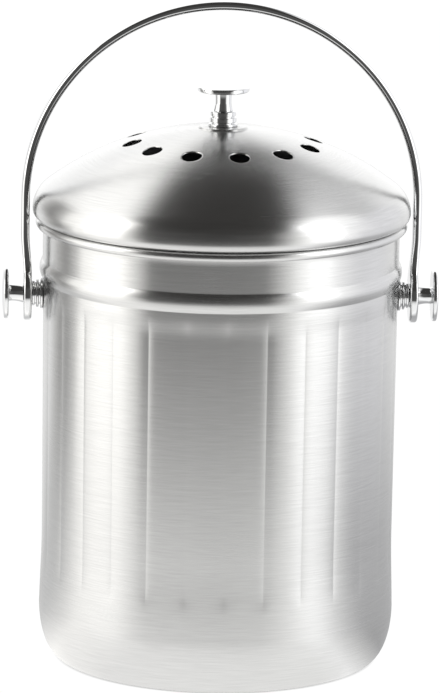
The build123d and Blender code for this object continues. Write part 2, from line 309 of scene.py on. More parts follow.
def makeWorld(settings):
    world = bpy.data.worlds.new("studio")
    world.use_nodes = True
    world.node_tree.nodes.clear()
    graph = Graph(world.node_tree)
    direction = graph.add("ShaderNodeTexCoord", {}, {}, "Generated")
    side, back, up, azimuth = studioAxes(graph, direction, settings)
    wall = roundWall(graph, azimuth, settings["wall"])
    wall = graph.blend(graph.ramp(abs(azimuth), *settings["backStarts"]), wall, grey(settings["backWall"]))
    sideShare = graph.ramp(back, *settings["sideEnds"])
    right = graph.blend(sideShare, opaque(settings["overheadSide"]), opaque(settings["overheadRight"]))
    middle = settings["middleBlend"]
    overhead = graph.blend(graph.ramp(side, -middle, middle), opaque(settings["overheadLeft"]), right)
    backShare = graph.ramp(back, *settings["overheadBackStarts"])
    overhead = graph.blend(backShare, overhead, opaque(settings["overheadBack"]))
    overhead = graph.blend(gapMask(graph, side, back, settings), overhead, opaque(settings["gap"]))
    pattern = graph.blend(graph.ramp(up, settings["overheadFrom"], settings["overheadTo"]), wall, overhead)
    seen = graph.add("ShaderNodeLightPath", {}, {}, "Is Camera Ray")
    colour = graph.blend(seen, pattern, grey(1.0))
    strength = seen * (settings["white"] - settings["bright"]) + settings["bright"]
    shine = graph.add("ShaderNodeBackground", {}, {"Color": colour, "Strength": strength})
    graph.add("ShaderNodeOutputWorld", {}, {"Surface": shine})
    scene.world = world


def makeFloor(settings):
    material, graph = newMaterial("paleTable")
    place = graph.add("ShaderNodeTexCoord", {}, {}, "Object")
    side, back, up, azimuth = studioAxes(graph, place, settings)
    away = (side * side + back * back) ** 0.5
    # painted light and shade on the table: the near pattern and the wall's brightness far out, blended by
    # distance from the pail
    near = roundWall(graph, azimuth, settings["table"])
    far = roundWall(graph, azimuth * settings["tableSpread"], settings["wall"])
    lightTint = graph.blend(graph.ramp(away, settings["tableNear"], settings["tableFar"]), near, far)
    lit = graph.add("ShaderNodeBsdfDiffuse", {}, {"Color": grey(settings["tableGrey"])})
    # glossy rays see the table glowing with this painted light and shade
    mirrored = graph.add("ShaderNodeEmission", {}, {"Color": lightTint, "Strength": settings["bright"]})
    plain = graph.add("ShaderNodeEmission", {}, {"Color": grey(1.0), "Strength": settings["white"]})
    blank = graph.ramp(away, settings["contactNear"], settings["contactFar"])
    shaded = graph.add("ShaderNodeMixShader", {}, {0: blank, 1: lit, 2: plain})
    glossyRay = graph.add("ShaderNodeLightPath", {}, {}, "Is Glossy Ray")
    cameraRay = graph.add("ShaderNodeLightPath", {}, {}, "Is Camera Ray")
    other = graph.add("ShaderNodeMixShader", {}, {0: glossyRay, 1: lit, 2: mirrored})
    final = graph.add("ShaderNodeMixShader", {}, {0: cameraRay, 1: other, 2: shaded})
    graph.add("ShaderNodeOutputMaterial", {}, {"Surface": final})
    reach = settings["tableReach"]
    corners = [(-reach, -reach, 0), (reach, -reach, 0), (reach, reach, 0), (-reach, reach, 0)]
    mesh = makeMesh("table", corners, [(0, 1, 2, 3)])
    mesh.materials.append(material)
    table = addObject("table", mesh)


softboxLift = 0.12
softboxes = {
    "left": {"azimuth": -74.0, "above": 24.0, "away": 1.3, "width": 0.62, "height": 1.1, "power": 2.6,
             "colour": (1.0, 0.985, 0.96)},
    "right": {"azimuth": 66.0, "above": 24.0, "away": 1.3, "width": 0.42, "height": 1.1, "power": 2.0,
              "colour": (0.985, 0.985, 1.0)},
}


def hangSoftbox(name, settings):
    light = bpy.data.lights.new(name + "Softbox", "AREA")
    light.shape = "RECTANGLE"
    light.size = settings["width"]
    light.size_y = settings["height"]
    light.energy = settings["power"]
    light.color = settings["colour"]
    turn = math.radians(settings["azimuth"] - studio["turned"])
    above = math.radians(settings["above"])
    flat = settings["away"] * math.cos(above)
    place = Vector((flat * math.sin(turn), -flat * math.cos(turn), settings["away"] * math.sin(above)))
    lamp = addObject(name + "Softbox", light)
    lamp.location = place + Vector((0.0, 0.0, softboxLift))
    lamp.rotation_mode = "QUATERNION"
    lamp.rotation_quaternion = (-place).to_track_quat("-Z", "Y")
    lamp.visible_camera = False


makeWorld(studio)
makeFloor(studio)
for boxName, boxSettings in softboxes.items():
    hangSoftbox(boxName, boxSettings)
print("studio lit")


# finishes

def finishMaterial(graph, sockets):
    shader = graph.add("ShaderNodeBsdfPrincipled", {}, sockets)
    graph.add("ShaderNodeOutputMaterial", {}, {"Surface": shader})


brushedSteel = {
    "colour": (0.72, 0.72, 0.715),
    "shade": (0.64, 0.64, 0.635),
    "roughness": 0.26,
    "roughnessChange": 0.05,
    "anisotropy": 0.75,
    "streakLength": 14 * mm,
    "streakWidth": 0.35 * mm,
    "scratchLength": 40 * mm,
    "scratchWidth": 0.16 * mm,
    "depth": 0.004 * mm,
    "patchScale": 22.0,
    "broadShare": 0.6,           # of the colour's pattern; the fine streaks make up the rest
    "fineShare": 0.4,
    "fineRoughness": 0.04,
}


def brushedMaterial(name, grain, settings):
    # the brushing runs round the axis: fine across the grain, long around it
    material, graph = newMaterial(name)
    place = graph.add("ShaderNodeTexCoord", {}, {}, "Object")
    x, y, z = graph.split(place)
    across = z if grain == "height" else (x * x + y * y) ** 0.5

    def streaks(length, width, detail):
        vector = graph.join(x / length, y / length, across / width)
        sockets = {"Vector": vector, "Scale": 1.0, "Detail": detail, "Roughness": 0.6}
        return graph.add("ShaderNodeTexNoise", {}, sockets)

    broad = streaks(settings["streakLength"], settings["streakWidth"], 3.0)
    fine = streaks(settings["scratchLength"], settings["scratchWidth"], 1.0)
    sockets = {"Vector": place, "Scale": settings["patchScale"], "Detail": 3.0}
    patches = graph.add("ShaderNodeTexNoise", {}, sockets)
    mix = graph.ramp(broad * settings["broadShare"] + fine * settings["fineShare"], 0.3, 0.7)
    colour = graph.blend(mix, opaque(settings["shade"]), opaque(settings["colour"]))
    rough = settings["roughness"] + (patches - 0.5) * settings["roughnessChange"]
    rough = rough + (fine - 0.5) * settings["fineRoughness"]
    sockets = {"Strength": 1.0, "Distance": settings["depth"], "Height": broad + fine * 0.5}
    bump = graph.add("ShaderNodeBump", {}, sockets)
    finishMaterial(graph, {
        "Base Color": colour,
        "Metallic": 1.0,
        "Roughness": rough,
        "Anisotropic": settings["anisotropy"],
        "Anisotropic Rotation": 0.25,
        "Normal": bump,
    })
    return material


chrome = {"colour": (0.80, 0.805, 0.81), "roughness": 0.045, "smear": 0.03, "patchScale": 60.0}


def chromeMaterial(name, settings):
    material, graph = newMaterial(name)
    place = graph.add("ShaderNodeTexCoord", {}, {}, "Object")
    sockets = {"Vector": place, "Scale": settings["patchScale"], "Detail": 2.0}
    patches = graph.add("ShaderNodeTexNoise", {}, sockets)
    rough = settings["roughness"] + graph.ramp(patches, 0.45, 0.8) * settings["smear"]
    finishMaterial(graph, {"Base Color": opaque(settings["colour"]), "Metallic": 1.0, "Roughness": rough})
    return material


plainFinishes = {
    "fastenerSteel": {
        "light": opaque((0.62, 0.62, 0.63)), "dark": opaque((0.5, 0.5, 0.51)),
        "metal": 1.0, "rough": 0.3, "scale": 900.0,
    },
    "sealRubber": {"light": grey(0.035), "dark": grey(0.02), "metal": 0.0, "rough": 0.7, "scale": 1500.0},
    "retainerPlastic": {"light": grey(0.05), "dark": grey(0.03), "metal": 0.0, "rough": 0.5, "scale": 700.0},
    "carbonFelt": {"light": grey(0.035), "dark": grey(0.008), "metal": 0.0, "rough": 0.95, "scale": 500.0},
}


def plainMaterial(name, settings):
    material, graph = newMaterial(name)
    place = graph.add("ShaderNodeTexCoord", {}, {}, "Object")
    grains = graph.add("ShaderNodeTexNoise", {}, {"Vector": place, "Scale": settings["scale"], "Detail": 3.0})
    colour = graph.blend(grains, settings["dark"], settings["light"])
    bump = graph.add("ShaderNodeBump", {}, {"Strength": 0.4, "Distance": 0.05 * mm, "Height": grains})
    finishMaterial(graph, {
        "Base Color": colour,
        "Metallic": settings["metal"],
        "Roughness": settings["rough"] + (grains - 0.5) * 0.1,
        "Normal": bump,
    })
    return material


materials = {
    "pailSteel": brushedMaterial("pailSteel", "height", brushedSteel),
    "lidSteel": brushedMaterial("lidSteel", "radius", brushedSteel),
    "chrome": chromeMaterial("chrome", chrome),
}
for finishName, finishSettings in plainFinishes.items():
    materials[finishName] = plainMaterial(finishName, finishSettings)
print("finishes made")


# outlines and turned pieces

def ease(value):
    value = min(1.0, max(0.0, value))
    return value * value * (3 - 2 * value)


def arc(centre, radius, start, end, steps, squash=1.0):
    # points of an arc in the outline's plane, angles in degrees, counted from outwards
    points = []
    for step in range(steps + 1):
        angle = math.radians(start + (end - start) * step / steps)
        points.append((centre[0] + radius * math.cos(angle), centre[1] + radius * squash * math.sin(angle)))
    return points


def rounded(corners, steps=5):
    # corners are (radius, height, rounding); each is rounded and gets a supporting point on either side
    points = []
    for number, (x, z, size) in enumerate(corners):
        corner = Vector((x, z))
        if size <= 0 or number in (0, len(corners) - 1):
            points.append((x, z))
            continue
        before = Vector(corners[number - 1][:2]) - corner
        after = Vector(corners[number + 1][:2]) - corner
        half = before.angle(after) / 2
        run = min(size / math.tan(half), before.length * 0.45, after.length * 0.45)
        size = run * math.tan(half)
        middle = (before.normalized() + after.normalized()).normalized() * (size / math.sin(half))
        centre = corner + middle
        first = corner + before.normalized() * run - centre
        last = corner + after.normalized() * run - centre
        turn = math.atan2(first.x * last.y - first.y * last.x, first.dot(last))
        support = 2 * math.sin(abs(turn) / steps / 2) * size
        lead = corner + before.normalized() * min(run + support, before.length * 0.48)
        points.append(tuple(lead))
        for step in range(steps + 1):
            spot = centre + Matrix.Rotation(turn * step / steps, 2) @ first
            points.append(tuple(spot))
        trail = corner + after.normalized() * min(run + support, after.length * 0.48)
        points.append(tuple(trail))
    return points


def lathe(name, outline, segments):
    # a closed outline of (radius, height) points, from the axis round to the axis, turned about Z
    verts = []
    rows = []
    for radius, height in outline:
        if radius < 1e-7:
            rows.append([len(verts)] * segments)
            verts.append((0.0, 0.0, height))
            continue
        rows.append(list(range(len(verts), len(verts) + segments)))
        for number in range(segments):
            angle = 2 * math.pi * number / segments
            verts.append((radius * math.cos(angle), radius * math.sin(angle), height))
    faces = []
    for low, high in zip(rows, rows[1:]):
        bridge(faces, low, high, closed=True)
    mesh = makeMesh(name, verts, faces)
    mesh.shade_smooth()
    return mesh


def showPiece(name, mesh, material):
    mesh.materials.clear()
    mesh.materials.append(material)
    return addObject(name, mesh)


def settle(name, piece):
    # the evaluated piece as a plain mesh of its own
    graph = bpy.context.evaluated_depsgraph_get()
    mesh = bpy.data.meshes.new_from_object(piece.evaluated_get(graph))
    mesh.name = name
    bpy.data.objects.remove(piece)
    return addObject(name, mesh)


def stand(piece, body, slot, *nodes):
    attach(piece, body)
    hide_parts(*nodes)


# geometry node trees

def newTree(name, inputs):
    tree = bpy.data.node_groups.new(name, "GeometryNodeTree")
    tree.interface.new_socket("Geometry", in_out="INPUT", socket_type="NodeSocketGeometry")
    for label, kind in inputs.items():
        tree.interface.new_socket(label, in_out="INPUT", socket_type="NodeSocket" + kind)
    tree.interface.new_socket("Geometry", in_out="OUTPUT", socket_type="NodeSocketGeometry")
    graph = Graph(tree)
    source = graph.add("NodeGroupInput").socket.node
    entries = {out.name: Term(graph, out) for out in source.outputs if out.name}
    return tree, graph, entries


def endTree(graph, geometry, finish):
    dressed = graph.add("GeometryNodeSetMaterial", {}, {"Geometry": geometry, "Material": finish})
    graph.add("NodeGroupOutput", {}, {"Geometry": dressed})


def applyTree(piece, tree, values):
    modifier = piece.modifiers.new("rule", "NODES")
    modifier.node_group = tree
    for item in tree.interface.items_tree:
        if item.in_out == "INPUT" and item.name in values:
            modifier[item.identifier] = values[item.name]


def copiesRound(graph, geometry, copies, weld):
    # copies of a sector round the Z axis, joined where they meet
    points = graph.add("GeometryNodePoints", {}, {"Count": copies})
    index = graph.add("GeometryNodeInputIndex")
    turn = graph.join(0.0, 0.0, index * (2 * math.pi) / copies)
    sockets = {"Points": points, "Instance": geometry, "Rotation": turn}
    copiesMade = graph.add("GeometryNodeInstanceOnPoints", {}, sockets)
    real = graph.add("GeometryNodeRealizeInstances", {}, {"Geometry": copiesMade})
    return graph.add("GeometryNodeMergeByDistance", {}, {"Geometry": real, "Distance": weld})


def lidTree():
    tree, graph, entry = newTree("lidSectors", {"Copies": "Int", "Weld": "Float", "Finish": "Material"})
    whole = copiesRound(graph, entry["Geometry"], entry["Copies"], entry["Weld"])
    smooth = graph.add("GeometryNodeSetShadeSmooth", {}, {"Geometry": whole})
    endTree(graph, smooth, entry["Finish"])
    return tree


def pailTree():
    inputs = {
        "Panels": "Int",
        "Weld": "Float",
        "Pad Height": "Float",
        "Pad Radius": "Float",
        "Pad Blend": "Float",
        "Pad Outside": "Float",
        "Pad Inside": "Float",
        "Finish": "Material",
    }
    tree, graph, entry = newTree("panelsAndPads", inputs)
    whole = copiesRound(graph, entry["Geometry"], entry["Panels"], entry["Weld"])
    place = graph.add("GeometryNodeInputPosition")
    x, y, z = graph.split(place)
    rise = z - entry["Pad Height"]
    distance = (y * y + rise * rise) ** 0.5
    mask = 1 - graph.ramp(distance, entry["Pad Radius"], entry["Pad Radius"] + entry["Pad Blend"])
    inside = graph.add("GeometryNodeInputNamedAttribute", {"data_type": "FLOAT"}, {"Name": "inside"})
    target = entry["Pad Outside"] + (entry["Pad Inside"] - entry["Pad Outside"]) * inside
    shift = (target - abs(x)) * mask * x.calc("SIGN", x)
    sockets = {"Geometry": whole, "Offset": graph.join(shift, 0.0, 0.0)}
    moved = graph.add("GeometryNodeSetPosition", {}, sockets)
    smooth = graph.add("GeometryNodeSetShadeSmooth", {}, {"Geometry": moved})
    endTree(graph, smooth, entry["Finish"])
    return tree


# pail

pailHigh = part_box("pail_shell")[1]
pail = {
    "height": pailHigh.z,
    "sheet": 0.8 * mm,
    "neckRadius": 86.5 * mm,
    "rollRadius": 2.2 * mm,
    "beadDrop": 24.8 * mm,
    "beadHeight": 9.2 * mm,
    "beadProud": 1.5 * mm,
    "beadFillet": 0.06 * mm,
    "beadRows": (-1.2, -1.08, -1.03, -1.0, -0.96, -0.9, -0.8, -0.62, -0.4, -0.2,
                 0.0, 0.2, 0.4, 0.62, 0.8, 0.9, 0.96, 1.0, 1.03, 1.08, 1.2),
    "panels": 28,
    "panelGap": 3.0 * mm,
    "panelStep": 0.3 * mm,
    "panelDraft": 0.65 * mm,
    "creaseDepth": 0.27 * mm,
    "creaseReach": 2.6 * mm,     # the panel bends in to the crease over this much, on each side
    "creaseFade": 9.0 * mm,
    "panelFoot": 41.0 * mm,
    "bellyFrom": 20.0 * mm,      # the wall draws in from the belly over this stretch
    "bellyFade": 44.0 * mm,
    "bellyRadius": 86.62 * mm,
    "bellyHeight": 25.9 * mm,
    "cornerReach": 10.8 * mm,
    "ringWidth": 6.5 * mm,
    "baseLift": 2.0 * mm,
    "baseSlope": 3.0 * mm,
    "columns": 13,               # across one panel
    "columnCrowding": 1.9,       # columns stand closer near the creases
    "rowHeight": 2.2 * mm,
    "padRadius": 7.6 * mm,
    "padBlend": 1.1 * mm,
    "padOutside": 86.4 * mm,
    "padInside": 84.6 * mm,
    "pivotDrop": 37.7 * mm,
}


def pailWall(p, inset):
    # (radius, height, share of the crease) from the standing ring's outer edge up to the bead
    corner = p["bellyRadius"] - p["cornerReach"]
    reach = p["cornerReach"] - inset
    rows = []
    for x, z in arc((corner, p["bellyHeight"]), reach, -90, 0, 16, (p["bellyHeight"] - inset) / reach):
        rows.append((x, z, 0.0))
    top = p["height"] - p["beadDrop"] - p["beadHeight"] / 2 - p["panelGap"]
    count = round((top - p["bellyHeight"]) / p["rowHeight"])
    crestTop = p["neckRadius"] - p["panelStep"]
    crestFoot = crestTop - p["panelDraft"]
    for step in range(1, count + 1):
        height = p["bellyHeight"] + (top - p["bellyHeight"]) * step / count
        share = (height - p["bellyHeight"]) / (top - p["bellyHeight"])
        crest = crestFoot + p["panelDraft"] * share
        crest += (p["bellyRadius"] - crest) * (1 - ease((height - p["bellyFrom"]) / p["bellyFade"]))
        crest += (p["neckRadius"] - crest) * ease((height - top) / p["creaseFade"] + 1)
        low = ease((height - p["panelFoot"]) / p["creaseFade"])
        high = ease((top - height) / p["creaseFade"])
        rows.append((crest - inset, height, low * high))
    return rows


def beadRows(p, inset):
    middle = p["height"] - p["beadDrop"]
    half = p["beadHeight"] / 2
    wall = p["neckRadius"] - inset
    radius = (half * half + p["beadProud"] ** 2) / (2 * p["beadProud"])
    rows = []
    for share in p["beadRows"]:
        rise = half * share
        out = math.sqrt(radius * radius - rise * rise) - radius + p["beadProud"]
        out = (out + math.sqrt(out * out + p["beadFillet"] ** 2)) / 2
        rows.append((wall + min(out, p["beadProud"]), middle + rise, 0.0))
    return rows


def pailOutline(p):
    corner = p["bellyRadius"] - p["cornerReach"]
    liftFoot = corner - p["ringWidth"]
    liftTop = liftFoot - p["baseSlope"]
    sheet = p["sheet"]
    base = [(0.0, p["baseLift"]), (0.03, p["baseLift"])]
    base += rounded([
        (0.03, p["baseLift"], 0.0),
        (liftTop, p["baseLift"], 3 * mm),
        (liftFoot, 0.0, 3 * mm),
        (corner, 0.0, 0.0),
    ])[1:-1]
    outside = [(x, z, 0.0) for x, z in base] + pailWall(p, 0.0) + beadRows(p, 0.0)
    centre = (p["neckRadius"] - sheet + p["rollRadius"], p["height"] - p["rollRadius"])
    foot = math.degrees(math.acos((sheet - p["rollRadius"]) / p["rollRadius"]))
    outside.append((p["neckRadius"], centre[1] - p["rollRadius"] - 2.5 * mm, 0.0))
    outside.append((p["neckRadius"], centre[1] - p["rollRadius"] + 0.1 * mm, 0.0))
    outside += [(x, z, 0.0) for x, z in arc(centre, p["rollRadius"], -foot + 3, 180, 22)]
    inner = [(x, z, 0.0) for x, z in base if z > 0.5 * mm or x < liftTop]
    inner = [(x, z + sheet, s) for x, z, s in inner] + [(liftFoot, sheet, 0.0)]
    inside = pailWall(p, sheet) + beadRows(p, sheet)
    return outside, (inner + inside)[::-1]


def creaseDepthAt(p, share):
    # share runs from 0 at one crease to 1 at the next
    step = 2 * math.pi * p["neckRadius"] / p["panels"]
    return p["creaseDepth"] * math.exp(-min(share, 1 - share) * step / p["creaseReach"])


def panelSector(p):
    outside, inside = pailOutline(p)
    rows = outside + inside
    columns = p["columns"]
    shares = []
    for column in range(columns + 1):
        even = 2 * column / columns - 1
        shares.append((1 + math.copysign(1 - (1 - abs(even)) ** p["columnCrowding"], even)) / 2)
    verts = []
    rings = []
    marks = []
    for number, (radius, height, strength) in enumerate(rows):
        mark = 0.0 if number < len(outside) else 1.0
        if radius < 1e-7:
            rings.append([len(verts)] * (columns + 1))
            verts.append((0.0, 0.0, height))
            marks.append(mark)
            continue
        ring = []
        for share in shares:
            angle = 2 * math.pi * share / p["panels"] - math.pi / 2
            spot = radius - creaseDepthAt(p, share) * strength
            ring.append(len(verts))
            verts.append((spot * math.cos(angle), spot * math.sin(angle), height))
            marks.append(mark)
        rings.append(ring)
    faces = []
    for low, high in zip(rings, rings[1:]):
        bridge(faces, low, high)
    mesh = makeMesh("panelSector", verts, faces)
    mesh.attributes.new("inside", "FLOAT", "POINT").data.foreach_set("value", marks)
    return addObject("panelSector", mesh)


pailSector = panelSector(pail)
applyTree(pailSector, pailTree(), {
    "Panels": pail["panels"],
    "Weld": 0.002 * mm,
    "Pad Height": pail["height"] - pail["pivotDrop"],
    "Pad Radius": pail["padRadius"],
    "Pad Blend": pail["padBlend"],
    "Pad Outside": pail["padOutside"],
    "Pad Inside": pail["padInside"],
    "Finish": materials["pailSteel"],
})
pailBody = settle("pailBody", pailSector)
stand(pailBody, "pail", "pail_steel", "pail_shell")
print("pail pressed:", len(pailBody.data.polygons), "faces")


# lid

lidLow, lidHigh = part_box("lid_shell")
seatLift = 0.5 * mm
lid = {
    "low": lidLow.z,
    "radius": lidHigh.x,
    "sheet": 0.7 * mm,
    "edgeTurn": 3.8 * mm,        # the edge turns in by this much below its widest place
    "hemInside": 85.3 * mm,
    "hemOutside": 86.0 * mm,
    "hemHeight": 7.0 * mm,
    "domeRadius": 142.0 * mm,
    "shoulder": 14.8 * mm,
    "domeTop": lidHigh.z - seatLift,
    "seatRadius": 12.0 * mm,
    "seatUnder": 10.6 * mm,
    "seatFillet": 0.7 * mm,
    "seatSheet": 1.6 * mm,
    "screwHole": 2.25 * mm,
    "vents": 12,
    "ventRadius": 4.9 * mm,
    "ventEdge": 0.3 * mm,
    "ventRing": 44.5 * mm,
    "ventPhase": 8.0,            # degrees
    "columns": 16,               # across one vent's sector
    "ventRows": 7,
}


def domeHeight(p, radius, below=0.0):
    centre = p["domeTop"] - p["domeRadius"]
    return centre + math.sqrt((p["domeRadius"] - below) ** 2 - radius ** 2)


def lidEdge(p):
    # outside from the dome's end down round the edge to the hem's top, then back on the inside
    bendRadius = p["radius"] - p["shoulder"]
    lean = math.degrees(math.asin(bendRadius / (p["domeRadius"] - p["shoulder"])))
    bendZ = p["domeTop"] - p["domeRadius"] + (p["domeRadius"] - p["shoulder"]) * math.cos(math.radians(lean))
    turned = (p["radius"] - p["edgeTurn"], bendZ)
    low, sheet = p["low"], p["sheet"]
    drop = bendZ - low
    top = low + p["hemHeight"]
    outer = arc((bendRadius, bendZ), p["shoulder"], 90 - lean, 0, 16)
    outer += arc(turned, p["edgeTurn"], 0, -90, 12, drop / p["edgeTurn"])[1:]
    outer += rounded([(turned[0], low, 0.0), (p["hemInside"], low, 0.4 * mm), (p["hemInside"], top, 0.0)])[1:]
    inner = rounded([
        (p["hemOutside"], top, 0.0),
        (p["hemOutside"], low + sheet, 0.3 * mm),
        (turned[0], low + sheet, 0.0),
    ])
    reach = p["edgeTurn"] - sheet
    inner += arc(turned, reach, -90, 0, 8, (drop - sheet) / reach)[1:]
    inner += arc((bendRadius, bendZ), p["shoulder"] - sheet, 0, 90 - lean, 10)[1:]
    return outer, inner


def ventSector(p):
    # one vent's share of the lid: plain rows inwards and outwards, and rings round the hole
    columns = p["columns"]
    half = math.pi / p["vents"]
    reach = p["ventRing"] * half
    low, high = p["ventRing"] - reach, p["ventRing"] + reach
    outer, inner = lidEdge(p)
    crest = outer[0][0]
    verts, faces = [], []

    def put(angle, radius, height):
        verts.append((radius * math.sin(angle), -radius * math.cos(angle), height))
        return len(verts) - 1

    def row(radius, height):
        return [put(half * (2 * c / columns - 1), radius, height) for c in range(columns + 1)]

    def domeRows(start, end, steps, below):
        rows = []
        for step in range(steps + 1):
            radius = start + (end - start) * step / steps
            rows.append(row(radius, domeHeight(p, radius, below)))
        return rows

    def holeRings(below, edges):
        # from the square boundary in to the hole; edges are (extra radius, extra depth) at the hole
        tilt = math.cos(math.asin(p["ventRing"] / p["domeRadius"]))
        border = []
        for c in range(columns):
            border.append((half * (2 * c / columns - 1), low))
        for c in range(columns):
            border.append((half, low + (high - low) * c / columns))
        for c in range(columns):
            border.append((half * (1 - 2 * c / columns), high))
        for c in range(columns):
            border.append((-half, high - (high - low) * c / columns))
        hole = []
        for angle, radius in border:
            a, b = angle * p["ventRing"], radius - p["ventRing"]
            size = math.hypot(a, b)
            hole.append((a / size, b / size))
        rings = []
        for step in range(p["ventRows"] + 1):
            share = step / p["ventRows"]
            share = share * (1.6 - 0.6 * share)
            ring = []
            for (angle, radius), (ca, cb) in zip(border, hole):
                size = p["ventRadius"] + edges[0][0]
                ha, hb = ca * size, p["ventRing"] + cb * size * tilt
                a = angle * radius * (1 - share) + ha * share
                b = radius * (1 - share) + hb * share
                ring.append(put(a / b, b, domeHeight(p, b, below)))
            rings.append(ring)
        for extra, depth in edges[1:]:
            ring = []
            for ca, cb in hole:
                size = p["ventRadius"] + extra
                a, b = ca * size, p["ventRing"] + cb * size * tilt
                ring.append(put(a / b, b, domeHeight(p, b, below) - depth))
            rings.append(ring)
        return rings

    def skin(below, edges, seatRows, edgeRows):
        made = [row(r, z) for r, z in seatRows]
        made += domeRows(seatRows[-1][0] + 0.6 * mm, low, 8, below)
        for first, second in zip(made, made[1:]):
            bridge(faces, second, first)
        rings = holeRings(below, edges)
        for first, second in zip(rings, rings[1:]):
            bridge(faces, second, first, closed=True)
        outward = domeRows(high, crest, 12, below)[:-1] + [row(r, z) for r, z in edgeRows]
        for first, second in zip(outward, outward[1:]):
            bridge(faces, second, first)
        return made[0], rings[-1], outward[-1]

    seatZ = p["domeTop"] + seatLift
    seatTop = rounded([
        (p["screwHole"], seatZ, 0.0),
        (p["seatRadius"] - 0.4 * mm, seatZ, p["seatFillet"]),
        (p["seatRadius"] + 0.5 * mm, domeHeight(p, p["seatRadius"] + 0.5 * mm), 0.5 * mm),
        (p["seatRadius"] + 1.4 * mm, domeHeight(p, p["seatRadius"] + 1.4 * mm), 0.0),
    ], 4)
    seatUnder = [(p["screwHole"], seatZ - p["seatSheet"]), (p["seatUnder"], seatZ - p["seatSheet"])]
    edge = p["ventEdge"]
    soft = []
    for degrees in (0, 22, 45, 68, 90):
        turn = math.radians(degrees)
        soft.append((edge * (1 - math.sin(turn)), edge * (1 - math.cos(turn))))
    topHole, topVent, topEdge = skin(0.0, soft, seatTop, outer)
    flipFrom = len(faces)
    lowHole, lowVent, lowEdge = skin(p["sheet"], [(0.0, 0.0)], seatUnder, inner[::-1])
    for face in faces[flipFrom:]:
        face.reverse()
    bridge(faces, topHole, lowHole)
    bridge(faces, lowVent, topVent, closed=True)
    bridge(faces, lowEdge, topEdge)
    mesh = makeMesh("ventSector", verts, faces)
    mesh.transform(Matrix.Rotation(math.radians(p["ventPhase"]), 4, "Z"))
    return addObject("ventSector", mesh)


lidSector = ventSector(lid)
applyTree(lidSector, lidTree(), {"Copies": lid["vents"], "Weld": 0.002 * mm, "Finish": materials["lidSteel"]})
lidDome = settle("lidDome", lidSector)
stand(lidDome, "lid", "lid_steel", "lid_shell")
print("lid made:", len(lidDome.data.polygons), "faces")


# knobs and ferrules

knob = {
    "footRadius": 4.8 * mm,
    "waistRadius": 3.9 * mm,
    "neckRadius": 4.3 * mm,
    "headRadius": 12.5 * mm,
    "edgeHeight": 2.3 * mm,
    "crown": 0.95 * mm,
    "edgeRound": 0.75 * mm,
    "spigotRadius": 3.5 * mm,
    "spigotLength": 4.2 * mm,
    "boreRadius": 2.04 * mm,
    "boreDepth": 7.0 * mm,
    "segments": 112,
}


def knobMesh(name, p, stem, waist, spigot):
    head = stem + p["edgeHeight"]
    side = []
    steps = 14
    for step in range(steps + 1):
        height = stem * step / steps
        low = max(0.0, 1 - height / waist)
        high = max(0.0, (height - waist) / (stem - waist))
        side.append((
            p["waistRadius"] + (p["footRadius"] - p["waistRadius"]) * low ** 2
            + (p["neckRadius"] - p["waistRadius"]) * high ** 2,
            height,
        ))
    bend = p["edgeRound"]
    edge = p["headRadius"] - bend
    top = []
    for step in range(9):
        share = 1 - step / 8
        top.append((edge * share, head + p["crown"] * (1 - share * share)))
    outline = [(0.0, p["boreDepth"])]
    outline += [(p["boreRadius"], p["boreDepth"]), (p["boreRadius"], -spigot)]
    if spigot > 0:
        outline += rounded([
            (p["boreRadius"], -spigot, 0.0),
            (p["spigotRadius"], -spigot, 0.3 * mm),
            (p["spigotRadius"], 0.0, 0.0),
        ])[1:]
    outline += rounded([
        (p["spigotRadius"] if spigot > 0 else p["boreRadius"], 0.0, 0.0),
        (p["footRadius"], 0.0, 0.25 * mm),
        (*side[1], 0.0),
    ])[1:-1]
    outline += side[1:-1]
    outline += rounded([
        (*side[-2], 0.0),
        (p["neckRadius"], stem, 0.6 * mm),
        (p["headRadius"] - 2 * bend, stem, 0.0),
    ])[1:]
    outline += arc((edge, stem + bend), bend, -90, 0, 6)
    outline += arc((edge, head - bend), bend, 0, 78, 6)
    outline += top[1:]
    return lathe(name, outline, p["segments"])


ferrule = {
    "flangeHeight": 1.2 * mm,
    "grooveHeight": 0.7 * mm,
    "grooveRadius": 5.6 * mm,
    "boreRadius": 2.25 * mm,
    "edge": 0.25 * mm,
    "segments": 96,
}


def ferruleMesh(name, p, length, radii):
    flange, middle, end = radii
    ring = (length - p["flangeHeight"] - 2 * p["grooveHeight"]) / 2
    first = p["flangeHeight"] + p["grooveHeight"]
    second = first + ring + p["grooveHeight"]
    outline = rounded([
        (p["boreRadius"], 0.0, 0.0),
        (flange, 0.0, p["edge"]),
        (flange, p["flangeHeight"], p["edge"] * 1.6),
        (p["grooveRadius"], p["flangeHeight"], 0.1 * mm),
        (p["grooveRadius"], first, 0.1 * mm),
        (middle, first, ring * 0.45),
        (middle, first + ring, ring * 0.45),
        (p["grooveRadius"], first + ring, 0.1 * mm),
        (p["grooveRadius"], second, 0.1 * mm),
        (end, second, ring * 0.4),
        (end, length, ring * 0.4),
        (p["boreRadius"], length, 0.0),
    ], 6)
    outline.append(outline[0])
    return lathe(name, outline, p["segments"])


def onSide(mesh, side, distance, height):
    # stands a mesh turned about Z on the pivots' axis
    mesh.transform(Matrix.Translation((0.0, 0.0, distance)))
    mesh.transform(Matrix.Rotation(side * math.pi / 2, 4, "Y"))
    mesh.transform(Matrix.Translation((0.0, 0.0, height)))
    return mesh


